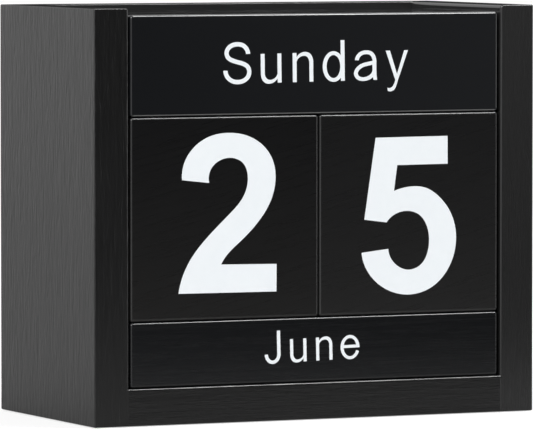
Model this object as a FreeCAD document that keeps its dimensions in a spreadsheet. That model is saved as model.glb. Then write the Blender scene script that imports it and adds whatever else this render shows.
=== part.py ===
import FreeCAD, Part
import math
import os

import Sketcher

# A perpetual desk calendar: an open wooden box that holds seven loose printed blocks.
# Two cubes show the day, two long bars the weekday and three thin bars the month.
# The origin is the middle of the underside, +X is to the reader's right, +Y is away
# from the reader and +Z is up. Lengths are millimetres, tilts are degrees, and names
# ending in share are shares of the height of a capital letter or a digit.

Vector = FreeCAD.Vector

SIZES = [
    # the blocks
    ("cube_size", 50.15),
    ("left_cube_width", 50.9),
    ("right_cube_width", 49.6),
    ("cube_edge_radius", 0.75),
    ("weekday_bar_size", 24.95),
    ("weekday_edge_radius", 0.8),
    ("month_bar_size", 16.05),
    ("month_edge_radius", 0.7),
    # the room round the blocks
    ("cube_gap", 0.2),
    ("side_gap", 0.55),
    ("blocks_shift", -0.1),
    ("layer_gap", 0.1),
    ("depth_gap", 0.3),
    ("front_setback", 0.2),
    # the boards of the frame
    ("side_thickness", 9.2),
    ("base_thickness", 9.2),
    ("back_thickness", 9.2),
    ("rim_above_blocks", 1.65),
    ("mouth_edge_radius", 0.65),
    ("top_edge_radius", 0.8),
    ("outer_edge_radius", 0.35),
    # the hidden dowels that hold the boards together
    ("dowel_diameter", 4.0),
    ("dowel_length", 18.0),
    ("dowel_cover", 2.8),
    ("dowel_fit", 0.05),
    ("dowel_end_gap", 0.5),
    ("dowel_bevel", 0.4),
    ("base_dowel_margin", 12.0),
    ("back_dowel_margin", 18.0),
    # the printed characters
    ("print_thickness", 0.008),
    ("letter_gap", 0.925),
    ("numeral_margin", 5.675),
    ("weekday_word_margin", 7.425),
    ("month_word_margin", 4.0),
    ("left_numeral_rise", 0.98),
    ("left_numeral_shift", 0.775),
    ("left_numeral_tilt", -0.3),
    ("right_numeral_rise", -0.28),
    ("right_numeral_shift", -0.06),
    ("right_numeral_tilt", 0.4),
    ("weekday_word_rise", 0.65),
    ("weekday_word_shift", -0.1),
    ("weekday_word_tilt", 0.7),
    ("month_word_rise", 1.2),
    ("month_word_shift", -1.22),
    ("month_word_tilt", 1.3),
    # how far cutting shapes run past what they cut
    ("overrun", 5.0),
]

# Derived places, as expressions on the sheet
LEFT_WIDTH = "Sizes.left_cube_width"
RIGHT_WIDTH = "Sizes.right_cube_width"
BAR_LENGTH = f"({LEFT_WIDTH} + Sizes.cube_gap + {RIGHT_WIDTH})"
CAVITY_WIDTH = f"({BAR_LENGTH} + 2 * Sizes.side_gap)"
WEEKDAY_ROW = "(2 * Sizes.weekday_bar_size + Sizes.depth_gap)"
MONTH_ROW = "(3 * Sizes.month_bar_size + 2 * Sizes.depth_gap)"
DEEPEST_ROW = f"max(Sizes.cube_size; {WEEKDAY_ROW}; {MONTH_ROW})"
CAVITY_DEPTH = f"(Sizes.front_setback + {DEEPEST_ROW} + Sizes.depth_gap)"
FRAME_WIDTH = f"({CAVITY_WIDTH} + 2 * Sizes.side_thickness)"
FRAME_DEPTH = f"({CAVITY_DEPTH} + Sizes.back_thickness)"
MONTH_FLOOR = "(Sizes.base_thickness + Sizes.layer_gap)"
CUBE_FLOOR = f"({MONTH_FLOOR} + Sizes.month_bar_size + Sizes.layer_gap)"
WEEKDAY_FLOOR = f"({CUBE_FLOOR} + Sizes.cube_size + Sizes.layer_gap)"
BLOCKS_TOP = f"({WEEKDAY_FLOOR} + Sizes.weekday_bar_size)"
FRAME_HEIGHT = f"({BLOCKS_TOP} + Sizes.rim_above_blocks)"
FRONT = f"(-{FRAME_DEPTH} / 2)"
BLOCK_FRONT = f"({FRONT} + Sizes.front_setback)"
BACK_PANEL_FRONT = f"({FRONT} + {CAVITY_DEPTH})"

# What is printed on the front, top, back and bottom of each bar, and on the left and
# right too of each cube. Seven weekdays leave one of eight faces blank
WEEKDAYS_IN_FRONT = ["Sunday", "", "Monday", "Tuesday"]
WEEKDAYS_BEHIND = ["Thursday", "Friday", "Saturday", "Wednesday"]
MONTHS_IN_FRONT = ["June", "July", "August", "May"]
MONTHS_IN_MIDDLE = ["January", "February", "March", "April"]
MONTHS_BEHIND = ["September", "October", "November", "December"]
LEFT_NUMERALS = ["2", "7", "8", "6", "0", "1"]
RIGHT_NUMERALS = ["5", "3", "4", "2", "0", "1"]

# Proportions of the lettering, as shares of the height of a capital or a numeral
STEM_SHARE = 0.106
THIN_SHARE = 0.094
CAPITAL_STEM_SHARE = 0.113
CAPITAL_THIN_SHARE = 0.107
BOLD_STEM_SHARE = 0.2
BOLD_THIN_SHARE = 0.165
LOW_SHARE = 0.713
OVER_SHARE = 0.02
TAIL_SHARE = 0.28
SAMPLES_PER_PEN_POINT = 4

# The blank at each side of a letter: straight, round, open and none
STRAIGHT_SHARE = 0.106
ROUND_SHARE = 0.057
OPEN_SHARE = 0.04
NONE_SHARE = 0

# Small letters with a bowl, as in d, or an arch, as in n, and where the m has its arches
MIDDLE_SHARE = LOW_SHARE / 2
BOWL_TALL_SHARE = MIDDLE_SHARE + OVER_SHARE
BOWL_SHARE = 0.292
BOWL_RIGHT_SHARE = 0.597
ARCH_RIGHT_SHARE = 0.556
M_ARCH_RIGHT_SHARE = 0.522
M_PITCH_SHARE = M_ARCH_RIGHT_SHARE - STEM_SHARE

SMALL_STEM_SHARES = ("bar", 0, 0, STEM_SHARE, LOW_SHARE)
TALL_STEM_SHARES = ("bar", 0, 0, STEM_SHARE, 1)
CAPITAL_STEM_SHARES = ("bar", 0, 0, CAPITAL_STEM_SHARE, 1)
LEFT_BOWL_SHARES = ("ring", BOWL_SHARE, MIDDLE_SHARE, BOWL_SHARE, BOWL_TALL_SHARE)
RIGHT_BOWL_SHARES = (
    "ring",
    BOWL_RIGHT_SHARE - BOWL_SHARE,
    MIDDLE_SHARE,
    BOWL_SHARE,
    BOWL_TALL_SHARE,
)

# The outside of an arch from its leg to the stem, and its inside from the stem to the
# leg. The first number of each point is a share of the arch's width
ARCH_OUTSIDE_SHARES = [
    (1, 0.461),
    (0.984, 0.561),
    (0.904, 0.658),
    (0.764, 0.718),
    (0.596, 0.733),
    (0.438, 0.718),
    (0.318, 0.682),
    (0.196, 0.617),
    (0.1, 0.561),
]
ARCH_INSIDE_SHARES = [
    (0.18, 0.451),
    (0.237, 0.549),
    (0.345, 0.607),
    (0.536, 0.639),
    (0.673, 0.623),
    (0.756, 0.577),
    (0.81, 0.471),
]


def arch_shares(left, right):
    """Give the arch and the leg that spring from a stem, as in n."""
    outside = [(left + x * (right - left), y) for x, y in ARCH_OUTSIDE_SHARES]
    inside = [(left + x * (right - left), y) for x, y in ARCH_INSIDE_SHARES]
    inner_foot, outer_foot = (inside[-1][0], 0), (right, 0)
    return (
        "outline",
        outside,
        (outside[-1], inside[0]),
        inside,
        (inside[-1], inner_foot),
        (inner_foot, outer_foot),
        (outer_foot, outside[0]),
    )


def turned_shares(kind, *runs):
    """Turn the outline of an arch upside down, as in u."""
    return (kind, *[[(ARCH_RIGHT_SHARE - x, LOW_SHARE - y) for x, y in run] for run in runs])


N_ARCH_SHARES = arch_shares(0, ARCH_RIGHT_SHARE)

# Each letter has its left side, its right side and its strokes:
# a bar by its left, bottom, right and top; an arc by the middle and the outer half sizes
# of its oval and by its start and end in degrees; a ring by its middle and half sizes;
# a pen stroke by the points on its middle line; a fill by its corners; and an outline by
# its runs, of which two points are a line and more are one smooth curve
LETTER_SHARES = {
    "a": (
        ROUND_SHARE,
        STRAIGHT_SHARE,
        [
            (
                "pen",
                (0.078, 0.495),
                (0.124, 0.6),
                (0.206, 0.662),
                (0.332, 0.686),
                (0.464, 0.656),
                (0.537, 0.565),
                (0.556, 0.42),
            ),
            (
                "fill",
                (0.503, 0.42),
                (0.503, 0.13),
                (0.528, 0),
                (0.631, 0),
                (0.612, 0.1),
                (0.609, 0.42),
            ),
            (
                "pen",
                (0.556, 0.437),
                (0.35, 0.395),
                (0.19, 0.348),
                (0.087, 0.264),
                (0.048, 0.165),
                (0.105, 0.068),
                (0.243, 0.027),
                (0.392, 0.053),
                (0.506, 0.13),
                (0.556, 0.24),
            ),
        ],
    ),
    "b": (STRAIGHT_SHARE, ROUND_SHARE, [TALL_STEM_SHARES, RIGHT_BOWL_SHARES]),
    "c": (ROUND_SHARE, OPEN_SHARE, [("arc", 0.315, MIDDLE_SHARE, 0.315, BOWL_TALL_SHARE, 38, 322)]),
    "d": (
        ROUND_SHARE,
        STRAIGHT_SHARE,
        [("bar", BOWL_RIGHT_SHARE - STEM_SHARE, 0, BOWL_RIGHT_SHARE, 1), LEFT_BOWL_SHARES],
    ),
    "e": (
        ROUND_SHARE,
        ROUND_SHARE,
        [
            ("arc", 0.325, MIDDLE_SHARE, 0.325, BOWL_TALL_SHARE, -3, 339),
            ("bar", 0.05, 0.336, 0.62, 0.427),
        ],
    ),
    "g": (
        ROUND_SHARE,
        STRAIGHT_SHARE,
        [
            ("bar", BOWL_RIGHT_SHARE - STEM_SHARE, -0.048, BOWL_RIGHT_SHARE, LOW_SHARE),
            LEFT_BOWL_SHARES,
            ("arc", BOWL_RIGHT_SHARE - BOWL_SHARE, -0.048, BOWL_SHARE, 0.25, 195, 360),
        ],
    ),
    "h": (STRAIGHT_SHARE, STRAIGHT_SHARE, [TALL_STEM_SHARES, N_ARCH_SHARES]),
    "i": (
        STRAIGHT_SHARE,
        STRAIGHT_SHARE,
        [SMALL_STEM_SHARES, ("bar", 0, 1 - STEM_SHARE, STEM_SHARE, 1)],
    ),
    "l": (STRAIGHT_SHARE, STRAIGHT_SHARE, [TALL_STEM_SHARES]),
    "m": (
        STRAIGHT_SHARE,
        STRAIGHT_SHARE,
        [
            SMALL_STEM_SHARES,
            arch_shares(0, M_ARCH_RIGHT_SHARE),
            arch_shares(M_PITCH_SHARE, M_PITCH_SHARE + M_ARCH_RIGHT_SHARE),
        ],
    ),
    "n": (STRAIGHT_SHARE, STRAIGHT_SHARE, [SMALL_STEM_SHARES, N_ARCH_SHARES]),
    "o": (ROUND_SHARE, ROUND_SHARE, [("ring", 0.325, MIDDLE_SHARE, 0.325, BOWL_TALL_SHARE)]),
    "p": (
        STRAIGHT_SHARE,
        ROUND_SHARE,
        [("bar", 0, -TAIL_SHARE, STEM_SHARE, LOW_SHARE), RIGHT_BOWL_SHARES],
    ),
    "r": (
        STRAIGHT_SHARE,
        OPEN_SHARE,
        [SMALL_STEM_SHARES, ("arc", 0.275, 0.459, 0.275, 0.274, 68, 180)],
    ),
    "s": (
        ROUND_SHARE,
        ROUND_SHARE,
        [
            (
                "pen",
                (0.53, 0.53),
                (0.47, 0.645),
                (0.3, 0.686),
                (0.13, 0.64),
                (0.09, 0.54),
                (0.16, 0.44),
                (0.31, 0.385),
                (0.46, 0.325),
                (0.53, 0.215),
                (0.48, 0.09),
                (0.31, 0.027),
                (0.13, 0.08),
                (0.06, 0.21),
            )
        ],
    ),
    "t": (
        OPEN_SHARE,
        OPEN_SHARE,
        [
            ("bar", 0.12, 0.14, 0.12 + STEM_SHARE, 0.94),
            ("bar", 0, LOW_SHARE - THIN_SHARE, 0.33, LOW_SHARE),
            ("arc", 0.305, 0.14, 0.185, 0.16, 180, 285),
        ],
    ),
    "u": (
        STRAIGHT_SHARE,
        STRAIGHT_SHARE,
        [
            ("bar", ARCH_RIGHT_SHARE - STEM_SHARE, 0, ARCH_RIGHT_SHARE, LOW_SHARE),
            turned_shares(*N_ARCH_SHARES),
        ],
    ),
    "v": (
        OPEN_SHARE,
        OPEN_SHARE,
        [
            (
                "fill",
                (0, LOW_SHARE),
                (0.262, 0),
                (0.372, 0),
                (0.634, LOW_SHARE),
                (0.522, LOW_SHARE),
                (0.317, 0.13),
                (0.112, LOW_SHARE),
            )
        ],
    ),
    "y": (
        OPEN_SHARE,
        OPEN_SHARE,
        [
            (
                "outline",
                ((0, LOW_SHARE), (0.116, LOW_SHARE)),
                ((0.116, LOW_SHARE), (0.305, 0.132)),
                ((0.305, 0.132), (0.507, LOW_SHARE)),
                ((0.507, LOW_SHARE), (0.612, LOW_SHARE)),
                ((0.612, LOW_SHARE), (0.322, -0.04)),
                ((0.322, -0.04), (0.278, -0.165), (0.215, -0.26), (0.13, -0.292), (0.051, -0.28)),
                ((0.051, -0.28), (0.036, -0.197)),
                ((0.036, -0.197), (0.112, -0.21), (0.179, -0.17), (0.226, -0.1), (0.255, -0.016)),
                ((0.255, -0.016), (0, LOW_SHARE)),
            )
        ],
    ),
    "A": (
        NONE_SHARE,
        NONE_SHARE,
        [
            ("fill", (0, 0), (0.113, 0), (0.45, 0.91), (0.507, 1), (0.393, 1)),
            ("fill", (0.9, 0), (0.507, 1), (0.393, 1), (0.45, 0.91), (0.787, 0)),
            ("bar", 0.17, 0.3, 0.73, 0.3 + CAPITAL_THIN_SHARE),
        ],
    ),
    "D": (
        STRAIGHT_SHARE,
        ROUND_SHARE,
        [
            CAPITAL_STEM_SHARES,
            ("bar", 0, 0, 0.41, CAPITAL_THIN_SHARE),
            ("bar", 0, 1 - CAPITAL_THIN_SHARE, 0.41, 1),
            ("arc", 0.41, 0.5, 0.405, 0.5, -90, 90),
        ],
    ),
    "F": (
        STRAIGHT_SHARE,
        ROUND_SHARE,
        [
            CAPITAL_STEM_SHARES,
            ("bar", 0, 1 - CAPITAL_THIN_SHARE, 0.66, 1),
            ("bar", 0, 0.46, 0.585, 0.46 + CAPITAL_THIN_SHARE),
        ],
    ),
    "J": (
        OPEN_SHARE,
        STRAIGHT_SHARE,
        [
            ("bar", 0.539 - CAPITAL_STEM_SHARE, 0.28, 0.539, 1),
            ("arc", 0.2695, 0.28, 0.2695, 0.3, 180, 360),
        ],
    ),
    "M": (
        STRAIGHT_SHARE,
        STRAIGHT_SHARE,
        [
            (
                "fill",
                (0, 0),
                (0, 1),
                (0.155, 1),
                (0.464, 0.16),
                (0.773, 1),
                (0.928, 1),
                (0.928, 0),
                (0.822, 0),
                (0.822, 0.85),
                (0.51, 0),
                (0.418, 0),
                (0.106, 0.85),
                (0.106, 0),
            )
        ],
    ),
    "N": (
        STRAIGHT_SHARE,
        STRAIGHT_SHARE,
        [
            (
                "fill",
                (0, 0),
                (0, 1),
                (0.11, 1),
                (0.647, 0.177),
                (0.647, 1),
                (0.753, 1),
                (0.753, 0),
                (0.643, 0),
                (0.106, 0.823),
                (0.106, 0),
            )
        ],
    ),
    "O": (ROUND_SHARE, ROUND_SHARE, [("ring", 0.463, 0.5, 0.463, 0.516)]),
    "S": (
        ROUND_SHARE,
        ROUND_SHARE,
        [
            (
                "pen",
                (0.675, 0.72),
                (0.639, 0.836),
                (0.544, 0.928),
                (0.389, 0.962),
                (0.229, 0.929),
                (0.129, 0.845),
                (0.099, 0.744),
                (0.136, 0.645),
                (0.242, 0.575),
                (0.407, 0.522),
                (0.57, 0.47),
                (0.668, 0.394),
                (0.7, 0.289),
                (0.668, 0.17),
                (0.569, 0.082),
                (0.399, 0.041),
                (0.217, 0.082),
                (0.107, 0.178),
                (0.066, 0.326),
            )
        ],
    ),
    "T": (
        OPEN_SHARE,
        OPEN_SHARE,
        [
            ("bar", 0, 1 - CAPITAL_THIN_SHARE, 0.765, 1),
            ("bar", 0.326, 0, 0.326 + CAPITAL_STEM_SHARE, 1),
        ],
    ),
    "W": (
        NONE_SHARE,
        NONE_SHARE,
        [
            (
                "fill",
                (0, 1),
                (0.265, 0),
                (0.377, 0),
                (0.627, 0.85),
                (0.877, 0),
                (0.989, 0),
                (1.254, 1),
                (1.142, 1),
                (0.933, 0.2),
                (0.683, 1),
                (0.571, 1),
                (0.321, 0.2),
                (0.112, 1),
            )
        ],
    ),
}

NUMERAL_SHARES = {
    "0": [("ring", 0.34, 0.5, 0.34, 0.515)],
    "1": [
        (
            "outline",
            ((0.41, 0), (0.41, 1.01)),
            ((0.41, 1.01), (0.25, 1.01)),
            ((0.25, 1.01), (0.16, 0.86), (0, 0.76)),
            ((0, 0.76), (0, 0.585)),
            ((0, 0.585), (0.12, 0.64), (0.21, 0.71)),
            ((0.21, 0.71), (0.21, 0)),
            ((0.21, 0), (0.41, 0)),
        )
    ],
    "2": [
        (
            "outline",
            ((0, 0), (0.683, 0)),
            ((0.683, 0), (0.683, 0.176)),
            ((0.683, 0.176), (0.295, 0.18)),
            (
                (0.295, 0.18),
                (0.345, 0.25),
                (0.445, 0.338),
                (0.546, 0.438),
                (0.636, 0.57),
                (0.673, 0.722),
                (0.646, 0.853),
                (0.522, 0.975),
                (0.347, 1.015),
                (0.191, 0.985),
                (0.067, 0.885),
                (0.021, 0.719),
            ),
            ((0.021, 0.719), (0.209, 0.699)),
            (
                (0.209, 0.699),
                (0.247, 0.817),
                (0.347, 0.856),
                (0.445, 0.821),
                (0.479, 0.722),
                (0.446, 0.606),
                (0.347, 0.495),
                (0.192, 0.348),
                (0.088, 0.224),
                (0.03, 0.115),
                (0, 0),
            ),
        )
    ],
    "3": [
        ("arc", 0.34, 0.745, 0.285, 0.27, -90, 172),
        ("arc", 0.34, 0.3, 0.335, 0.315, -172, 90),
        ("bar", 0.25, 0.46, 0.36, 0.6),
    ],
    "4": [
        ("bar", 0.41, 0, 0.6, 1),
        ("bar", 0, 0.205, 0.71, 0.37),
        ("fill", (0, 0.33), (0.16, 0.33), (0.6, 1), (0.42, 1)),
    ],
    "5": [
        (
            "outline",
            ((0.105, 1), (0.62, 1)),
            ((0.62, 1), (0.62, 0.82)),
            ((0.62, 0.82), (0.258, 0.82)),
            ((0.258, 0.82), (0.234, 0.655)),
            (
                (0.234, 0.655),
                (0.36, 0.681),
                (0.465, 0.668),
                (0.557, 0.61),
                (0.628, 0.525),
                (0.665, 0.44),
                (0.678, 0.34),
                (0.639, 0.177),
                (0.51, 0.033),
                (0.345, -0.015),
                (0.163, 0.03),
                (0.036, 0.152),
                (0, 0.264),
            ),
            ((0, 0.264), (0.191, 0.284)),
            (
                (0.191, 0.284),
                (0.24, 0.185),
                (0.337, 0.145),
                (0.43, 0.182),
                (0.479, 0.285),
                (0.472, 0.41),
                (0.42, 0.492),
                (0.327, 0.524),
                (0.24, 0.505),
                (0.18, 0.454),
            ),
            ((0.18, 0.454), (0.021, 0.476)),
            ((0.021, 0.476), (0.105, 1)),
        )
    ],
    "6": [
        ("ring", 0.34, 0.325, 0.335, 0.34),
        ("arc", 0.375, 0.5, 0.37, 0.515, 52, 200),
    ],
    "7": [
        (
            "outline",
            ((0, 1), (0.67, 1)),
            ((0.67, 1), (0.67, 0.86)),
            ((0.67, 0.86), (0.5, 0.61), (0.4, 0.34), (0.355, 0)),
            ((0.355, 0), (0.16, 0)),
            ((0.16, 0), (0.21, 0.32), (0.31, 0.6), (0.44, 0.82)),
            ((0.44, 0.82), (0, 0.82)),
            ((0, 0.82), (0, 1)),
        )
    ],
    "8": [
        ("ring", 0.34, 0.745, 0.285, 0.27),
        ("ring", 0.34, 0.3, 0.335, 0.315),
    ],
}


def make_sheet(document):
    """Write the driving sizes to the sheet, one a row, each with its name as alias."""
    sheet = document.addObject("Spreadsheet::Sheet", "Sizes")
    for row, (name, value) in enumerate(SIZES, start=1):
        sheet.set(f"A{row}", name.replace("_", " "))
        sheet.set(f"B{row}", str(value))
        sheet.setAlias(f"B{row}", name)
    document.recompute()
    return sheet


def size(document, expression):
    """Return the number that an expression on the sheet stands for."""
    return float(document.Sizes.evalExpression(expression.replace("Sizes.", "")))


def bind(thing, expressions):
    """Bind each property of an object to its expression."""
    for path, expression in expressions.items():
        thing.setExpression(path, expression)


def place_at(thing, x, y, z):
    """Bind the three coordinates of an object's place."""
    bind(thing, {"Placement.Base.x": x, "Placement.Base.y": y, "Placement.Base.z": z})


def add_box(document, name, sizes, corner):
    """Add a box by its three sizes and its lowest corner."""
    box = document.addObject("Part::Box", name)
    bind(box, dict(zip(("Length", "Width", "Height"), sizes)))
    place_at(box, *corner)
    return box


# The frame


def make_frame_blank(document):
    """Make the open box as one piece, eased all over, for the boards to be cut from."""
    outside = add_box(
        document,
        "FrameOutside",
        (FRAME_WIDTH, FRAME_DEPTH, FRAME_HEIGHT),
        (f"-{FRAME_WIDTH} / 2", FRONT, "0"),
    )
    cavity = add_box(
        document,
        "FrameCavity",
        (CAVITY_WIDTH, f"{CAVITY_DEPTH} + Sizes.overrun", FRAME_HEIGHT),
        (f"-{CAVITY_WIDTH} / 2", f"{FRONT} - Sizes.overrun", "Sizes.base_thickness"),
    )
    square = document.addObject("Part::Cut", "FrameSquare")
    square.Base = outside
    square.Tool = cavity
    document.recompute()
    eased = document.addObject("Part::Fillet", "FrameEased")
    eased.Base = square
    eased.Edges = eased_edges(document, square.Shape)
    return eased


def eased_edges(document, shape):
    """List the outward edges of the frame, each with the radius it is eased to."""
    inner = size(document, CAVITY_WIDTH) / 2
    front = size(document, FRONT)
    floor = size(document, "Sizes.base_thickness")
    top = size(document, FRAME_HEIGHT)
    mouth_radius = size(document, "Sizes.mouth_edge_radius")
    top_radius = size(document, "Sizes.top_edge_radius")
    outer_radius = size(document, "Sizes.outer_edge_radius")
    eased = []
    for number, edge in enumerate(shape.Edges, start=1):
        box = edge.BoundBox
        across = same(box.XMin, -inner) and same(box.XMax, inner)
        on_wall = same(box.XMin, box.XMax) and same(abs(box.XMin), inner)
        on_front = same(box.YMax, front)
        on_top = same(box.ZMin, top)
        on_floor = same(box.ZMin, floor) and same(box.ZMax, floor)
        if on_front and (on_wall or (across and on_floor)):
            eased.append((number, mouth_radius, mouth_radius))
        elif on_top and on_wall:
            eased.append((number, top_radius, top_radius))
        elif not on_wall and not on_floor:
            eased.append((number, outer_radius, outer_radius))
    return eased


def same(first, second):
    """Tell whether two coordinates are the same, but for rounding."""
    return math.isclose(first, second, abs_tol=1e-6)


def add_level_rod(document, name, radius, length, start):
    """Add a round rod along +X from its start."""
    rod = document.addObject("Part::Cylinder", name)
    rod.Placement.Rotation = FreeCAD.Rotation(Vector(0, 0, 1), Vector(1, 0, 0))
    bind(rod, {"Radius": radius, "Height": length})
    place_at(rod, *start)
    return rod


def joint_starts(length, cover, rows):
    """Give the low-X end of a rod in each row on each side of the frame.

    The rod lies across the joint of a side board, and ends a cover below its outer face.
    """
    left = f"-{FRAME_WIDTH} / 2 + {cover}"
    right = f"{FRAME_WIDTH} / 2 - {cover} - {length}"
    return [(x, y, z) for y, z in rows for x in (left, right)]


def base_dowel_rows():
    """Give the Y and Z of the dowels that join the sides to the base board."""
    level = "Sizes.base_thickness / 2"
    margin = "Sizes.base_dowel_margin"
    return [(f"{FRONT} + {margin}", level), (f"-{FRONT} - {margin}", level)]


def back_dowel_rows():
    """Give the Y and Z of the dowels that join the sides to the back panel."""
    middle = f"{BACK_PANEL_FRONT} + Sizes.back_thickness / 2"
    margin = "Sizes.back_dowel_margin"
    return [
        (middle, f"Sizes.base_thickness + {margin}"),
        (middle, f"{FRAME_HEIGHT} - {margin}"),
    ]


def make_drills(document, name, rows):
    """Group the cutters of the dowel holes of some rows."""
    radius = "Sizes.dowel_diameter / 2 + Sizes.dowel_fit"
    length = "(Sizes.dowel_length + 2 * Sizes.dowel_end_gap)"
    drills = [
        add_level_rod(document, f"{name}{number}", radius, length, start)
        for number, start in enumerate(joint_starts(length, "Sizes.dowel_cover", rows))
    ]
    group = document.addObject("Part::Compound", name)
    group.Links = drills
    return group


def make_dowels(document, label, rows):
    """Make one node of dowels, each a separate rod with bevelled ends."""
    bevel = size(document, "Sizes.dowel_bevel")
    radius, length = "Sizes.dowel_diameter / 2", "Sizes.dowel_length"
    cover = "(Sizes.dowel_cover + Sizes.dowel_end_gap)"
    rods = []
    for number, start in enumerate(joint_starts(length, cover, rows)):
        rod = add_level_rod(document, f"{label}_rod{number}", radius, length, start)
        document.recompute()
        bevelled = document.addObject("Part::Chamfer", f"{label}_bevelled{number}")
        bevelled.Base = rod
        bevelled.Edges = [
            (index, bevel, bevel)
            for index, edge in enumerate(rod.Shape.Edges, start=1)
            if same(edge.BoundBox.XLength, 0)
        ]
        rods.append(bevelled)
    group = document.addObject("Part::Compound", label)
    group.Links = rods
    return group


def cut_board(document, label, blank, sizes, corner, drill_groups):
    """Cut one board out of the eased blank and drill its dowel holes."""
    envelope = add_box(document, f"{label}_envelope", sizes, corner)
    board = document.addObject("Part::Common", f"{label}_undrilled")
    board.Base = blank
    board.Tool = envelope
    for number, drills in enumerate(drill_groups, start=1):
        drilled = document.addObject("Part::Cut", f"{label}_drilled{number}")
        drilled.Base = board
        drilled.Tool = drills
        board = drilled
    board.Label = label
    return board


def make_frame(document):
    """Make the two sides, the base board and the back panel, and their dowels."""
    blank = make_frame_blank(document)
    base_drills = make_drills(document, "BaseDrills", base_dowel_rows())
    back_drills = make_drills(document, "BackDrills", back_dowel_rows())
    side_sizes = (
        "Sizes.side_thickness + Sizes.overrun",
        f"{FRAME_DEPTH} + 2 * Sizes.overrun",
        f"{FRAME_HEIGHT} + 2 * Sizes.overrun",
    )
    before = f"{FRONT} - Sizes.overrun"
    below = "-Sizes.overrun"
    outside = f"-{FRAME_WIDTH} / 2 - Sizes.overrun"
    inside = f"-{CAVITY_WIDTH} / 2"
    both = [base_drills, back_drills]
    left = cut_board(
        document, "left_side_board", blank, side_sizes, (outside, before, below), both
    )
    right = cut_board(
        document,
        "right_side_board",
        blank,
        side_sizes,
        (f"{CAVITY_WIDTH} / 2", before, below),
        both,
    )
    base = cut_board(
        document,
        "base_board",
        blank,
        (CAVITY_WIDTH, side_sizes[1], "Sizes.base_thickness + Sizes.overrun"),
        (inside, before, below),
        [base_drills],
    )
    back = cut_board(
        document,
        "back_panel",
        blank,
        (CAVITY_WIDTH, "Sizes.back_thickness + Sizes.overrun", FRAME_HEIGHT),
        (inside, BACK_PANEL_FRONT, "Sizes.base_thickness"),
        [back_drills],
    )
    base_dowels = make_dowels(document, "base_dowels", base_dowel_rows())
    back_dowels = make_dowels(document, "back_panel_dowels", back_dowel_rows())
    return [left, right, base, back, base_dowels, back_dowels]


# The blocks


def make_block(document, label, length, thickness, radius, centre):
    """Make a solid block, centred on its own origin, with every edge rounded."""
    body = document.addObject("PartDesign::Body", label)
    body.Label = label
    section = body.newObject("Sketcher::SketchObject", f"{label}_section")
    plane = next(f for f in body.Origin.OriginFeatures if f.Role == "YZ_Plane")
    section.AttachmentSupport = [(plane, "")]
    section.MapMode = "FlatFace"
    draw_centred_square(document, section, thickness)
    pad = body.newObject("PartDesign::Pad", f"{label}_length")
    pad.Profile = section
    pad.SideType = "Symmetric"
    bind(pad, {"Length": length})
    document.recompute()
    rounded = body.newObject("PartDesign::Fillet", f"{label}_edges")
    rounded.Base = (pad, [""])
    rounded.UseAllEdges = True
    bind(rounded, {"Radius": radius})
    body.Tip = rounded
    place_at(body, *centre)
    return body


def draw_centred_square(document, sketch, side):
    """Draw a square round the sketch's origin, its side bound to the sheet."""
    half = size(document, side) / 2
    corners = [
        Vector(-half, -half, 0),
        Vector(half, -half, 0),
        Vector(half, half, 0),
        Vector(-half, half, 0),
    ]
    for start, end in zip(corners, corners[1:] + corners[:1]):
        sketch.addGeometry(Part.LineSegment(start, end), False)
    for line in range(4):
        sketch.addConstraint(Sketcher.Constraint("Coincident", line, 2, (line + 1) % 4, 1))
    sketch.addConstraint(Sketcher.Constraint("Horizontal", 0))
    sketch.addConstraint(Sketcher.Constraint("Horizontal", 2))
    sketch.addConstraint(Sketcher.Constraint("Vertical", 1))
    sketch.addConstraint(Sketcher.Constraint("Vertical", 3))
    sketch.addConstraint(Sketcher.Constraint("Symmetric", 0, 1, 1, 2, -1, 1))
    width = sketch.addConstraint(Sketcher.Constraint("DistanceX", 0, 1, 0, 2, 2 * half))
    height = sketch.addConstraint(Sketcher.Constraint("DistanceY", 1, 1, 1, 2, 2 * half))
    bind(sketch, {f"Constraints[{width}]": side, f"Constraints[{height}]": side})


def row_centre(thickness, position):
    """Give the Y of a bar's centre: position 0 is the front bar, 1 the next, and so on."""
    step = f"({thickness} + Sizes.depth_gap)"
    return f"{BLOCK_FRONT} + {thickness} / 2 + {position} * {step}"


def cube_centre(side, width):
    """Give the centre of a day cube; side is -1 for the left one and 1 for the right."""
    return (
        f"Sizes.blocks_shift + {side} * ({BAR_LENGTH} - {width}) / 2",
        f"{BLOCK_FRONT} + Sizes.cube_size / 2",
        f"{CUBE_FLOOR} + Sizes.cube_size / 2",
    )


def weekday_centre(position):
    """Give the centre of a weekday bar, counted from the front."""
    thickness = "Sizes.weekday_bar_size"
    height = f"{WEEKDAY_FLOOR} + {thickness} / 2"
    return ("Sizes.blocks_shift", row_centre(thickness, position), height)


def month_centre(position):
    """Give the centre of a month bar, counted from the front."""
    thickness = "Sizes.month_bar_size"
    height = f"{MONTH_FLOOR} + {thickness} / 2"
    return ("Sizes.blocks_shift", row_centre(thickness, position), height)


def make_blocks(document):
    """Make the two cubes, the two weekday bars and the three month bars."""
    blocks = []
    cubes = (("left_day_cube", -1, LEFT_WIDTH), ("right_day_cube", 1, RIGHT_WIDTH))
    for label, side, width in cubes:
        thickness = "Sizes.cube_size"
        radius = "Sizes.cube_edge_radius"
        centre = cube_centre(side, width)
        blocks.append(make_block(document, label, width, thickness, radius, centre))
    for position, label in enumerate(("front_weekday_bar", "rear_weekday_bar")):
        thickness = "Sizes.weekday_bar_size"
        radius = "Sizes.weekday_edge_radius"
        centre = weekday_centre(position)
        blocks.append(make_block(document, label, BAR_LENGTH, thickness, radius, centre))
    names = ("front_month_bar", "middle_month_bar", "rear_month_bar")
    for position, label in enumerate(names):
        thickness = "Sizes.month_bar_size"
        radius = "Sizes.month_edge_radius"
        centre = month_centre(position)
        blocks.append(make_block(document, label, BAR_LENGTH, thickness, radius, centre))
    return blocks


# The lettering: every stroke is a flat face, drawn at a capital height of one


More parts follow.
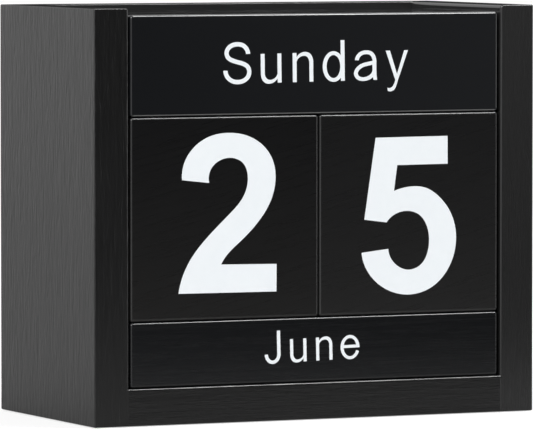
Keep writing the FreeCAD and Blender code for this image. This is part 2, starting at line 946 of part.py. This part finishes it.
def outline(*runs):
    """Fill a closed outline of runs: two points are a line, more are one smooth curve."""
    edges = []
    for run in runs:
        points = [Vector(x, y, 0) for x, y in run]
        if len(points) == 2:
            edges.append(Part.makeLine(*points))
        else:
            curve = Part.BSplineCurve()
            curve.interpolate(points)
            edges.append(curve.toShape())
    return Part.Face(Part.Wire(edges))


def polygon(*points):
    """Fill a shape with straight sides."""
    return outline(*zip(points, points[1:] + points[:1]))


def rectangle(left, low, right, high):
    """Fill a level rectangle."""
    return polygon((left, low), (right, low), (right, high), (left, high))


def oval_edge(x, y, wide, tall, start, end):
    """Draw part of an oval by its middle and half sizes, in degrees from its right."""
    middle = Vector(x, y, 0)
    right, top = Vector(wide, 0, 0), Vector(0, tall, 0)
    if wide >= tall:
        oval = Part.Ellipse(middle + right, middle + top, middle)
        turn = 0
    else:
        oval = Part.Ellipse(middle + top, middle - right, middle)
        turn = 90
    first, last = math.radians(start - turn), math.radians(end - turn)
    return Part.ArcOfEllipse(oval, first, last).toShape()


def arc(weights, x, y, wide, tall, start, end):
    """Fill part of an oval stroke, by the outer half sizes of its oval."""
    stem, thin = weights
    outer = oval_edge(x, y, wide, tall, start, end)
    inner = oval_edge(x, y, wide - stem, tall - thin, start, end)
    outer_start, outer_end = (outer.valueAt(place) for place in outer.ParameterRange)
    inner_start, inner_end = (inner.valueAt(place) for place in inner.ParameterRange)
    closing = Part.makeLine(outer_end, inner_end)
    opening = Part.makeLine(inner_start, outer_start)
    return Part.Face(Part.Wire([outer, closing, inner, opening]))


def pen_stroke(weights, points):
    """Fill a stroke along a smooth line, thicker where it runs upright."""
    stem, thin = weights
    line = Part.BSplineCurve()
    line.interpolate([Vector(x, y, 0) for x, y in points])
    steps = SAMPLES_PER_PEN_POINT * len(points)
    span = line.LastParameter - line.FirstParameter
    left, right = [], []
    for step in range(steps + 1):
        place = line.FirstParameter + span * step / steps
        point, along = line.value(place), line.tangent(place)[0]
        reach = 2 * math.hypot(stem * along.y, thin * along.x)
        aside = Vector(-along.y * stem * stem / reach, along.x * thin * thin / reach, 0)
        left.append((point.x + aside.x, point.y + aside.y))
        right.append((point.x - aside.x, point.y - aside.y))
    left.reverse()
    return outline(right, (right[-1], left[0]), left, (left[-1], right[0]))


def draw_stroke(weights, kind, *shares):
    """Draw one stroke of the tables as one or two faces."""
    if kind == "bar":
        return [rectangle(*shares)]
    if kind == "fill":
        return [polygon(*shares)]
    if kind == "outline":
        return [outline(*shares)]
    if kind == "pen":
        return [pen_stroke(weights, shares)]
    if kind == "ring":
        return [arc(weights, *shares, 0, 180), arc(weights, *shares, 180, 360)]
    return [arc(weights, *shares)]


def draw_character(weights, strokes):
    """Join the strokes of one character to flat faces with no seams."""
    faces = [face for stroke in strokes for face in draw_stroke(weights, *stroke)]
    if len(faces) == 1:
        return faces[0]
    return faces[0].multiFuse(faces[1:]).removeSplitter()


def draw_letters():
    """Draw every letter once; each keeps its left side and right side."""
    small = (STEM_SHARE, THIN_SHARE)
    capital = (CAPITAL_STEM_SHARE, CAPITAL_THIN_SHARE)
    return {
        name: (left, right, draw_character(capital if name.isupper() else small, strokes))
        for name, (left, right, strokes) in LETTER_SHARES.items()
    }


def draw_numerals():
    """Draw every numeral once, with no sides because each stands alone."""
    weights = (BOLD_STEM_SHARE, BOLD_THIN_SHARE)
    return {
        name: (NONE_SHARE, NONE_SHARE, draw_character(weights, strokes))
        for name, strokes in NUMERAL_SHARES.items()
    }


def set_word(characters, word, gap_share):
    """Set a word on one line, its ink centred on X, at a capital height of one."""
    faces = []
    cursor = 0
    for character in word:
        left, right, shape = characters[character]
        face = shape.copy()
        face.translate(Vector(cursor + left, 0, 0))
        faces.append(face)
        cursor += left + shape.BoundBox.XMax + right + gap_share
    line = Part.makeCompound(faces)
    line.translate(Vector(-line.BoundBox.Center.x, 0, 0))
    return line


# Turns that bring a print from the front face to each face: axis and degrees
FACE_TURNS = [
    (Vector(1, 0, 0), 0),
    (Vector(1, 0, 0), -90),
    (Vector(1, 0, 0), -180),
    (Vector(1, 0, 0), -270),
    (Vector(0, 0, 1), -90),
    (Vector(0, 0, 1), 90),
]


def make_prints(document, label, characters, words, block, centre):
    """Print a word on each face of a block, as thin solids that lie on its faces.

    The block is given by its width and thickness, by the margin above and below a
    capital, by how far the print stands above the middle of the face and to its right,
    and by its tilt.
    """
    width, thickness, margin, rise, shift, tilt = (size(document, name) for name in block)
    height = thickness - 2 * margin
    ink = size(document, "Sizes.print_thickness")
    gap_share = size(document, "Sizes.letter_gap") / height
    solids = []
    for word, (axis, degrees) in zip(words, FACE_TURNS):
        if not word:
            continue
        line = set_word(characters, word, gap_share).scaled(height)
        line.translate(Vector(0, -height / 2, 0))
        line.rotate(Vector(0, 0, 0), Vector(0, 0, 1), tilt)
        reach = width / 2 if axis.z else thickness / 2
        line.translate(Vector(shift, rise, reach))
        line.rotate(Vector(0, 0, 0), Vector(1, 0, 0), 90)
        line.rotate(Vector(0, 0, 0), axis, degrees)
        outward = FreeCAD.Rotation(axis, degrees).multVec(Vector(0, -ink, 0))
        solids += [face.extrude(outward) for face in line.Faces]
    prints = document.addObject("Part::Feature", label)
    prints.Label = label
    prints.Shape = Part.makeCompound(solids)
    place_at(prints, *centre)
    return prints


def block_sizes(width, thickness, margin, place):
    """Name a block's two sizes and the margin, rise, shift and tilt of its prints."""
    names = (thickness, margin, f"{place}_rise", f"{place}_shift", f"{place}_tilt")
    return [width] + [f"Sizes.{name}" for name in names]


def make_all_prints(document):
    """Print the numerals, the weekdays and the months on their blocks."""
    letters, numerals = draw_letters(), draw_numerals()
    left = block_sizes(LEFT_WIDTH, "cube_size", "numeral_margin", "left_numeral")
    right = block_sizes(RIGHT_WIDTH, "cube_size", "numeral_margin", "right_numeral")
    weekday = block_sizes(BAR_LENGTH, "weekday_bar_size", "weekday_word_margin", "weekday_word")
    month = block_sizes(BAR_LENGTH, "month_bar_size", "month_word_margin", "month_word")
    left_centre = cube_centre(-1, LEFT_WIDTH)
    right_centre = cube_centre(1, RIGHT_WIDTH)
    rows = [
        ("left_day_numerals", numerals, LEFT_NUMERALS, left, left_centre),
        ("right_day_numerals", numerals, RIGHT_NUMERALS, right, right_centre),
        ("front_weekday_words", letters, WEEKDAYS_IN_FRONT, weekday, weekday_centre(0)),
        ("rear_weekday_words", letters, WEEKDAYS_BEHIND, weekday, weekday_centre(1)),
        ("front_month_words", letters, MONTHS_IN_FRONT, month, month_centre(0)),
        ("middle_month_words", letters, MONTHS_IN_MIDDLE, month, month_centre(1)),
        ("rear_month_words", letters, MONTHS_BEHIND, month, month_centre(2)),
    ]
    return [make_prints(document, *row) for row in rows]


def check(document, pieces):
    """Stop if an object failed, or a piece has no valid shape."""
    for thing in document.Objects:
        if "Invalid" in thing.State or "Error" in thing.State:
            raise RuntimeError(f"{thing.Label} failed: {thing.State}")
    for piece in pieces:
        if piece.Shape.isNull() or not piece.Shape.isValid() or piece.Shape.Volume <= 0:
            raise RuntimeError(f"{piece.Label} has no valid shape")


def main():
    """Build the calendar and write each piece to its own file."""
    document = FreeCAD.newDocument("desk_calendar")
    make_sheet(document)
    pieces = make_frame(document) + make_blocks(document) + make_all_prints(document)
    document.recompute()
    check(document, pieces)
    os.makedirs("parts", exist_ok=True)
    for piece in pieces:
        piece.Shape.exportStep(f"parts/{piece.Label}.step")
        print(piece.Label, len(piece.Shape.Solids), round(piece.Shape.Volume, 2))


main()
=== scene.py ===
import math

import bpy
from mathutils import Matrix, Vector

# A black perpetual desk calendar of loose printed blocks in an open wooden box, dressed
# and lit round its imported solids. Lengths are metres and colours are linear.

MILLIMETRE = 0.001
UNTURNED = (0.0, 0.0, 0.0)

# The camera of the photograph, worked out from the corners of the box
IMAGE_WIDTH = 533
FOCAL_LENGTH_IN_PIXELS = 6157.1
CAMERA_PLACE = Vector((-0.65235, -1.40598, 0.1328))
CAMERA_YAW = math.radians(-24.891)
CAMERA_PITCH = math.radians(-3.081)
CAMERA_CLIP = (0.05, 50)
SENSOR_WIDTH = 36.0

# The table ends a little in front of the box, and the studio is dark past its edge. The
# lift is the light that clears it to white for the camera.
TABLE_FRONT = -0.13
TABLE_BACK = 0.9
TABLE_HALF_WIDTH = 1.0
TABLE_HEIGHT = -0.2 * MILLIMETRE
TABLE_TINT = (0.36, 0.36, 0.36)
TABLE_LIFT = 0.59

# The room is white, but for two dark parts: the side that the front faces mirror, and the
# low part behind the box that the top faces mirror. Each has its direction, and the angles
# from it, in degrees, where it starts and where it is fully dark.
WHITE = (1.0, 1.0, 1.0)
DARK_LEVEL = 0.03
DARK_PARTS = (
    (Vector((0.42, -0.9, 0.0)).normalized(), 62, 36),
    (Vector((0.42, 0.9, 0.05)).normalized(), 32, 16),
)

# The lamps: size, level and place
LAMPS = {
    "top_right": (0.3, 25.0, (0.43, -0.32, 0.9)),
    "top_back": (0.5, 1.5, (0.45, 0.48, 0.85)),
    "left_key": (0.8, 7.9, (-0.85, -0.8, 0.75)),
    "right_side": (0.5, 1.6, (0.8, -0.32, 0.2)),
}
LAMP_TARGET = Vector((0.0, 0.0, 0.05))

# Noise in the surfaces: the width and the length of its features, then its detail,
# roughness and distortion
FIBRES = (0.34 * MILLIMETRE, 16 * MILLIMETRE, 5.0, 0.6, 0.4)
BANDS = (2.2 * MILLIMETRE, 60 * MILLIMETRE, 3.0, 0.5, 0.6)
STREAKS = (1.1 * MILLIMETRE, 7 * MILLIMETRE, 2.0, 0.5, 0.8)
PAINT_SKIN = (0.9 * MILLIMETRE, 0.9 * MILLIMETRE, 3.0, 0.5, 0.0)
INK_MOTTLE = (1.8 * MILLIMETRE, 1.8 * MILLIMETRE, 4.0, 0.6, 0.0)
DOWEL_FIBRES = (0.3 * MILLIMETRE, 9 * MILLIMETRE, 5.0, 0.6, 0.0)

# The paint's relief: how strong the bands are beside the fibres, and how deep the grain
# and the skin are
BAND_HEIGHT = 1.4
GRAIN_DEPTH = 0.045 * MILLIMETRE
SKIN_STRENGTH = 0.25
SKIN_DEPTH = 0.02 * MILLIMETRE
# The paint's tone: how much darker and lighter than the tint full relief makes it, from
# the lowest fibres to the highest
FIBRE_DARKENING = 0.3
FIBRE_LIGHTENING = 0.4
FIBRE_SPAN = (0.25, 0.75)
# The paint's gloss: how far the noise changes its roughness
SATIN_SPREAD = 0.05
NOISE_SPAN = (0.2, 0.8)
PAINT_IOR = 1.5
# A face seen edge-on is smooth: how far it has turned from the eye, where 1 is fully, when
# this starts and when it is complete, and how rough it still is
EDGE_ON_TURN = (0.74, 0.93)
EDGE_ON_ROUGHNESS = 0.05

# The boards: the grain's direction, how strongly its streaks stand out, how rough the
# paint is, its tint at the foot and its tint at the head. The tints are painted light:
# lighter or darker from board to board and from foot to head, they stand in for
# reflections and shade on the black paint.
BOARDS = {
    "left_side_board": ("z", 6.5, 0.4, (0.0026, 0.0026, 0.0027), (0.0006, 0.0006, 0.0007)),
    "right_side_board": ("z", 2.5, 0.28, (0.0090, 0.0090, 0.0091), (0.0155, 0.0155, 0.0156)),
    "base_board": ("x", 1.5, 0.28, (0.0032, 0.0032, 0.0033), (0.0032, 0.0032, 0.0033)),
    "back_panel": ("x", 2.5, 0.4, (0.0060, 0.0060, 0.0061), (0.0090, 0.0090, 0.0091)),
}
BOARD_RELIEF = 0.6
# The board whose inner face is smooth, and the shares of its thickness, from that face,
# over which the smoothness fades out
SLEEK_BOARD = "right_side_board"
SLEEK_DEPTH = (0.02, 0.05)

# The bars: the paint's tint at the left end and at the right end, and its roughness. The
# change of tint from end to end is painted light, standing in for how reflections fall
# along the bars.
WEEKDAY_BARS = ("front_weekday_bar", "rear_weekday_bar")
WEEKDAY_TINTS = ((0.0063, 0.0068, 0.0077), (0.0097, 0.0102, 0.0112))
WEEKDAY_SATIN = 0.1
MONTH_BARS = ("front_month_bar", "middle_month_bar", "rear_month_bar")
MONTH_TINTS = ((0.0034, 0.0037, 0.0044), (0.0020, 0.0023, 0.0029))
MONTH_SATIN = 0.26
BAR_RELIEF = 0.15
# A painted highlight along the lower edge of the weekday bars, a pale line that stands in
# for light caught on the rounding: as shares of the bar's height, where the line starts, is
# full, fades and ends; as shares of its length, where it comes in at each end; and its
# colour at the left end and at the right end
PAINTED_HIGHLIGHT_LINE = (0.006, 0.012, 0.015, 0.022)
PAINTED_HIGHLIGHT_ENDS = (0.004, 0.012)
PAINTED_HIGHLIGHT_COLOURS = ((0.15, 0.15, 0.15), (0.165, 0.165, 0.165))

# The cubes: the paint's tint at the foot and at the head, and the slant of their grain.
# The tint is a painted reflection, lighter at the foot where the table is mirrored and
# darker at the head.
CUBES = {
    "left_day_cube": ((0.0075, 0.0073, 0.0072), (0.0030, 0.0030, 0.0033)),
    "right_day_cube": ((0.0092, 0.0091, 0.0091), (0.0050, 0.0050, 0.0053)),
}
CUBE_SATIN = 0.3
CUBE_RELIEF = 0.3
CUBE_SLANT = (0.0, math.radians(14), 0.0)

# The ink: the two whites that it wavers between, the colour of the walls round it, its
# relief, and its roughness under the clear coat. The reach is how far out from the middle
# of its block a face lies, as a share of the block's size: the walls lie nearer, and the
# outward faces farther.
PRINTS = (
    "left_day_numerals",
    "right_day_numerals",
    "front_weekday_words",
    "rear_weekday_words",
    "front_month_words",
    "middle_month_words",
    "rear_month_words",
)
INK_WHITES = ((0.750, 0.786, 0.812), (0.787, 0.818, 0.840))
INK_WALL = (0.01, 0.01, 0.01)
INK_RELIEF = 0.2
INK_DEPTH = 0.02 * MILLIMETRE
INK_SATIN = (0.46, 0.52)
INK_COAT_ROUGHNESS = 0.05
INK_REACH = (0.42, 0.48)

DOWELS = ("base_dowels", "back_panel_dowels")
BEECH_COLOURS = ((0.38, 0.23, 0.12), (0.56, 0.38, 0.22))
BEECH_RELIEF = 0.4
BEECH_DEPTH = 0.03 * MILLIMETRE
BEECH_ROUGHNESS = 0.62


class Recipe:
    """A node tree under construction, for a material or for the world."""

    def __init__(self, owner, output):
        owner.use_nodes = True
        self.owner = owner
        self.tree = owner.node_tree
        self.tree.nodes.clear()
        self.output = self.add(output)

    def add(self, kind, **settings):
        node = self.tree.nodes.new(kind)
        for key, value in settings.items():
            setattr(node, key, value)
        return node

    def put(self, value, socket):
        """Give a socket the output of another node, a number or a colour."""
        if isinstance(value, bpy.types.NodeSocket):
            self.tree.links.new(value, socket)
        elif socket.type == "RGBA":
            socket.default_value = (*value, 1.0)
        else:
            socket.default_value = value

    def feed(self, node, **sockets):
        """Fill a node's named inputs, with underscores for the spaces in the names."""
        for name, value in sockets.items():
            self.put(value, node.inputs[name.replace("_", " ")])
        return node

    def math(self, operation, *values):
        node = self.add("ShaderNodeMath", operation=operation)
        for socket, value in zip(node.inputs, values):
            self.put(value, socket)
        return node.outputs[0]

    def dot(self, first, second):
        node = self.add("ShaderNodeVectorMath", operation="DOT_PRODUCT")
        self.put(first, node.inputs[0])
        self.put(second, node.inputs[1])
        return node.outputs["Value"]

    def remap(self, value, low, high, to_low=0.0, to_high=1.0):
        """Ease from one number to another while the value goes from low to high."""
        node = self.add("ShaderNodeMapRange", interpolation_type="SMOOTHSTEP")
        self.feed(node, Value=value, From_Min=low, From_Max=high, To_Min=to_low, To_Max=to_high)
        return node.outputs["Result"]

    def between(self, share, first, second):
        """A number between two others."""
        node = self.add("ShaderNodeMix", data_type="FLOAT")
        for index, value in ((0, share), (2, first), (3, second)):
            self.put(value, node.inputs[index])
        return node.outputs[0]

    def blend(self, share, first, second):
        """A colour between two others."""
        node = self.add("ShaderNodeMix", data_type="RGBA")
        for index, value in ((0, share), (6, first), (7, second)):
            self.put(value, node.inputs[index])
        return node.outputs[2]

    def coordinates(self, kind):
        return self.add("ShaderNodeTexCoord").outputs[kind]

    def noise(self, features, along="x", turn=UNTURNED):
        """Noise whose features are long on one axis, in turned object coordinates."""
        width, length, detail, roughness, distortion = features
        scale = tuple(1 / length if axis == along else 1 / width for axis in "xyz")
        turned = self.add("ShaderNodeMapping")
        self.feed(turned, Vector=self.coordinates("Object"), Rotation=turn)
        stretched = self.add("ShaderNodeMapping")
        self.feed(stretched, Vector=turned.outputs["Vector"], Scale=scale)
        node = self.add("ShaderNodeTexNoise")
        self.feed(node, Vector=stretched.outputs["Vector"], Scale=1.0, Detail=detail)
        self.feed(node, Roughness=roughness, Distortion=distortion)
        return node.outputs["Fac"]

    def bump(self, height, strength, distance, **normal):
        node = self.add("ShaderNodeBump")
        self.feed(node, Height=height, Strength=strength, Distance=distance, **normal)
        return node.outputs["Normal"]

    def along_box(self, axis):
        """Nought to one from one end of a piece to the other."""
        split = self.add("ShaderNodeSeparateXYZ")
        self.put(self.coordinates("Generated"), split.inputs[0])
        return split.outputs["xyz".index(axis)]

    def outer_face(self):
        """One on the outward faces of thin prints, nought on the walls round them."""
        centred = self.add("ShaderNodeVectorMath", operation="SUBTRACT")
        self.put(self.coordinates("Generated"), centred.inputs[0])
        self.put((0.5, 0.5, 0.5), centred.inputs[1])
        outward = self.dot(centred.outputs["Vector"], self.coordinates("Normal"))
        return self.remap(outward, *INK_REACH)

    def edge_on(self):
        """Nought to one as a face turns from fifteen to four degrees off the eye's line."""
        weight = self.feed(self.add("ShaderNodeLayerWeight"), Blend=0.5)
        return self.remap(weight.outputs["Facing"], *EDGE_ON_TURN)

    def finish(self, shader):
        self.put(shader.outputs[0], self.output.inputs["Surface"])

    def surface(self, **sockets):
        self.finish(self.feed(self.add("ShaderNodeBsdfPrincipled"), **sockets))

    def split_by_eye(self, seen, unseen):
        """One shader for the camera and another for all other rays."""
        path = self.add("ShaderNodeLightPath")
        mixed = self.add("ShaderNodeMixShader")
        self.put(path.outputs["Is Camera Ray"], mixed.inputs[0])
        self.put(unseen.outputs[0], mixed.inputs[1])
        self.put(seen.outputs[0], mixed.inputs[2])
        self.finish(mixed)


def material_recipe(name):
    return Recipe(bpy.data.materials.new(name), "ShaderNodeOutputMaterial")


def grain_height(recipe, fibres, along, turn, waves):
    """Fine fibres on broad bands and, where there are waves, short streaks."""
    bands = recipe.noise(BANDS, along, turn)
    height = recipe.math("ADD", fibres, recipe.math("MULTIPLY", bands, BAND_HEIGHT))
    if waves:
        streaks = recipe.noise(STREAKS, along, turn)
        height = recipe.math("ADD", height, recipe.math("MULTIPLY", streaks, waves))
    return height


def grain_colour(recipe, fibres, fade, tints, relief):
    """The tint, which changes from one end to the other as painted light, and lightens on the
    fibres.
    """
    tint = recipe.blend(recipe.along_box(fade), *tints)
    darkest = 1 - FIBRE_DARKENING * relief
    lightest = 1 + FIBRE_LIGHTENING * relief
    tone = recipe.remap(fibres, *FIBRE_SPAN, darkest, lightest)
    shade = recipe.add("ShaderNodeVectorMath", operation="SCALE")
    recipe.put(tint, shade.inputs[0])
    recipe.feed(shade, Scale=tone)
    return shade.outputs[0]


def paint_lower_edge_highlight(recipe, colour):
    """A pale highlight painted along the lower edge, where the rounding would catch light."""
    start, full, fading, end = PAINTED_HIGHLIGHT_LINE
    up = recipe.along_box("z")
    rise = recipe.remap(up, start, full)
    fall = recipe.remap(up, fading, end, 1.0, 0.0)
    line = recipe.math("MULTIPLY", rise, fall)
    across = recipe.along_box("x")
    from_end = recipe.math("MINIMUM", across, recipe.math("SUBTRACT", 1.0, across))
    line = recipe.math("MULTIPLY", line, recipe.remap(from_end, *PAINTED_HIGHLIGHT_ENDS))
    return recipe.blend(line, colour, recipe.blend(across, *PAINTED_HIGHLIGHT_COLOURS))


def painted_wood(
    name,
    along,
    tints,
    satin,
    relief,
    fade="z",
    turn=UNTURNED,
    waves=0.0,
    painted_highlight=False,
    sleek=False,
):
    """Black paint, satin rough, that shows the grain as relief and is smooth edge-on.

    The tint fades along one axis, as painted light that stands in for how reflections fall.
    A painted highlight is a pale line painted along the lower edge, and sleek paint is smooth
    on the inner face too.
    """
    recipe = material_recipe(name)
    fibres = recipe.noise(FIBRES, along, turn)
    skin = recipe.noise(PAINT_SKIN)
    height = grain_height(recipe, fibres, along, turn, waves)
    smooth = recipe.edge_on()
    if sleek:
        inner_face = recipe.remap(recipe.along_box("x"), *SLEEK_DEPTH, 1.0, 0.0)
        smooth = recipe.math("MAXIMUM", smooth, inner_face)
    normal = recipe.bump(height, recipe.between(smooth, relief, 0.0), GRAIN_DEPTH)
    skin_strength = recipe.between(smooth, SKIN_STRENGTH, 0.0)
    normal = recipe.bump(skin, skin_strength, SKIN_DEPTH, Normal=normal)
    colour = grain_colour(recipe, fibres, fade, tints, relief)
    # A pale line painted along the lower edge stands in for a highlight.
    if painted_highlight:
        colour = paint_lower_edge_highlight(recipe, colour)
    gloss = recipe.remap(fibres, *NOISE_SPAN, satin + SATIN_SPREAD, satin - SATIN_SPREAD)
    roughness = recipe.between(smooth, gloss, EDGE_ON_ROUGHNESS)
    recipe.surface(Base_Color=colour, Roughness=roughness, Normal=normal, IOR=PAINT_IOR)
    return recipe.owner


def white_ink():
    """Screen-printed white, faintly uneven, under a clear coat."""
    recipe = material_recipe("white_ink")
    mottle = recipe.noise(INK_MOTTLE)
    white = recipe.blend(mottle, *INK_WHITES)
    smooth = recipe.edge_on()
    gloss = recipe.remap(mottle, *NOISE_SPAN, *INK_SATIN)
    recipe.surface(
        Base_Color=recipe.blend(recipe.outer_face(), INK_WALL, white),
        Roughness=recipe.between(smooth, gloss, EDGE_ON_ROUGHNESS),
        Normal=recipe.bump(mottle, recipe.between(smooth, INK_RELIEF, 0.0), INK_DEPTH),
        Coat_Weight=1.0,
        Coat_Roughness=INK_COAT_ROUGHNESS,
    )
    return recipe.owner


def bare_wood():
    """Beech for the dowels inside the joints."""
    recipe = material_recipe("dowel_beech")
    fibres = recipe.noise(DOWEL_FIBRES)
    colour = recipe.blend(fibres, *BEECH_COLOURS)
    normal = recipe.bump(fibres, BEECH_RELIEF, BEECH_DEPTH)
    recipe.surface(Base_Color=colour, Roughness=BEECH_ROUGHNESS, Normal=normal)
    return recipe.owner


def dress(nodes, material):
    """Give carried-over solids their finish."""
    for name in nodes:
        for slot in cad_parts[name].material_slots:
            slot.material = material


def dress_boards():
    for name, (along, waves, satin, *tints) in BOARDS.items():
        paint = painted_wood(
            f"paint_{name}",
            along,
            tints,
            satin,
            BOARD_RELIEF,
            waves=waves,
            sleek=name == SLEEK_BOARD,
        )
        dress([name], paint)


def dress_blocks():
    # The weekday bars carry a painted highlight along their lower edge.
    weekday = painted_wood(
        "paint_weekday", "x", WEEKDAY_TINTS, WEEKDAY_SATIN, BAR_RELIEF, fade="x", painted_highlight=True
    )
    dress(WEEKDAY_BARS, weekday)
    month = painted_wood("paint_month", "x", MONTH_TINTS, MONTH_SATIN, BAR_RELIEF, fade="x")
    dress(MONTH_BARS, month)
    for name, tints in CUBES.items():
        paint = painted_wood(
            f"paint_{name}", "x", tints, CUBE_SATIN, CUBE_RELIEF, turn=CUBE_SLANT
        )
        dress([name], paint)


def make_table():
    """A pale table top that takes the shadow and clears to white for the camera."""
    corners = (
        (-TABLE_HALF_WIDTH, TABLE_FRONT, TABLE_HEIGHT),
        (TABLE_HALF_WIDTH, TABLE_FRONT, TABLE_HEIGHT),
        (TABLE_HALF_WIDTH, TABLE_BACK, TABLE_HEIGHT),
        (-TABLE_HALF_WIDTH, TABLE_BACK, TABLE_HEIGHT),
    )
    mesh = bpy.data.meshes.new("table")
    mesh.from_pydata(corners, [], [(0, 1, 2, 3)])
    table = bpy.data.objects.new("table", mesh)
    bpy.context.scene.collection.objects.link(table)
    recipe = material_recipe("pale_table")
    plain = recipe.feed(recipe.add("ShaderNodeBsdfDiffuse"), Color=TABLE_TINT)
    lift = recipe.feed(recipe.add("ShaderNodeEmission"), Color=WHITE, Strength=TABLE_LIFT)
    lifted = recipe.add("ShaderNodeAddShader")
    recipe.put(plain.outputs[0], lifted.inputs[0])
    recipe.put(lift.outputs[0], lifted.inputs[1])
    recipe.split_by_eye(lifted, plain)
    mesh.materials.append(recipe.owner)


def room_level(recipe, direction, centre, start, full):
    """The brightness of the room, which falls towards one dark part."""
    nearness = recipe.dot(direction, centre)
    outer = math.cos(math.radians(start))
    inner = math.cos(math.radians(full))
    return recipe.remap(nearness, outer, inner, 1.0, DARK_LEVEL)


def make_world():
    """White for the camera; a white room with two dark parts for all other rays."""
    world = bpy.data.worlds.new("studio")
    bpy.context.scene.world = world
    recipe = Recipe(world, "ShaderNodeOutputWorld")
    direction = recipe.coordinates("Generated")
    levels = [room_level(recipe, direction, *part) for part in DARK_PARTS]
    room = recipe.add("ShaderNodeBackground")
    recipe.feed(room, Color=WHITE, Strength=recipe.math("MINIMUM", *levels))
    backdrop = recipe.feed(recipe.add("ShaderNodeBackground"), Color=WHITE, Strength=1.0)
    recipe.split_by_eye(backdrop, room)


def make_lamps():
    """Square lamps; the level is how bright a lamp looks, where 1 is white."""
    for name, (size, level, place) in LAMPS.items():
        data = bpy.data.lights.new(name, "AREA")
        data.shape = "SQUARE"
        data.size = size
        data.energy = level * math.pi * size * size
        lamp = bpy.data.objects.new(name, data)
        bpy.context.scene.collection.objects.link(lamp)
        lamp.location = place
        aim = LAMP_TARGET - Vector(place)
        lamp.rotation_euler = aim.to_track_quat("-Z", "Y").to_euler()


def make_camera():
    data = bpy.data.cameras.new("camera")
    data.sensor_width = SENSOR_WIDTH
    data.lens = SENSOR_WIDTH * FOCAL_LENGTH_IN_PIXELS / IMAGE_WIDTH
    data.clip_start, data.clip_end = CAMERA_CLIP
    camera = bpy.data.objects.new("camera", data)
    bpy.context.scene.collection.objects.link(camera)
    camera.location = CAMERA_PLACE
    camera.rotation_euler = (math.pi / 2 + CAMERA_PITCH, 0.0, CAMERA_YAW)
    bpy.context.scene.camera = camera


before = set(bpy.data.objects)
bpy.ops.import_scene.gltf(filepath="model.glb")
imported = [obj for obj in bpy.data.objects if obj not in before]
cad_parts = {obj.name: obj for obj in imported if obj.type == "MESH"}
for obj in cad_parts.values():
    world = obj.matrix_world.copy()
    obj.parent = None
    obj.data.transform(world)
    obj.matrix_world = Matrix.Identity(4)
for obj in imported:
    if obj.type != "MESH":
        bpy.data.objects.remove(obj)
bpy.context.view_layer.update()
bpy.context.scene.view_settings.view_transform = "Standard"
make_camera()
make_world()
make_lamps()
make_table()
dress_boards()
dress_blocks()
dress(DOWELS, bare_wood())
dress(PRINTS, white_ink())
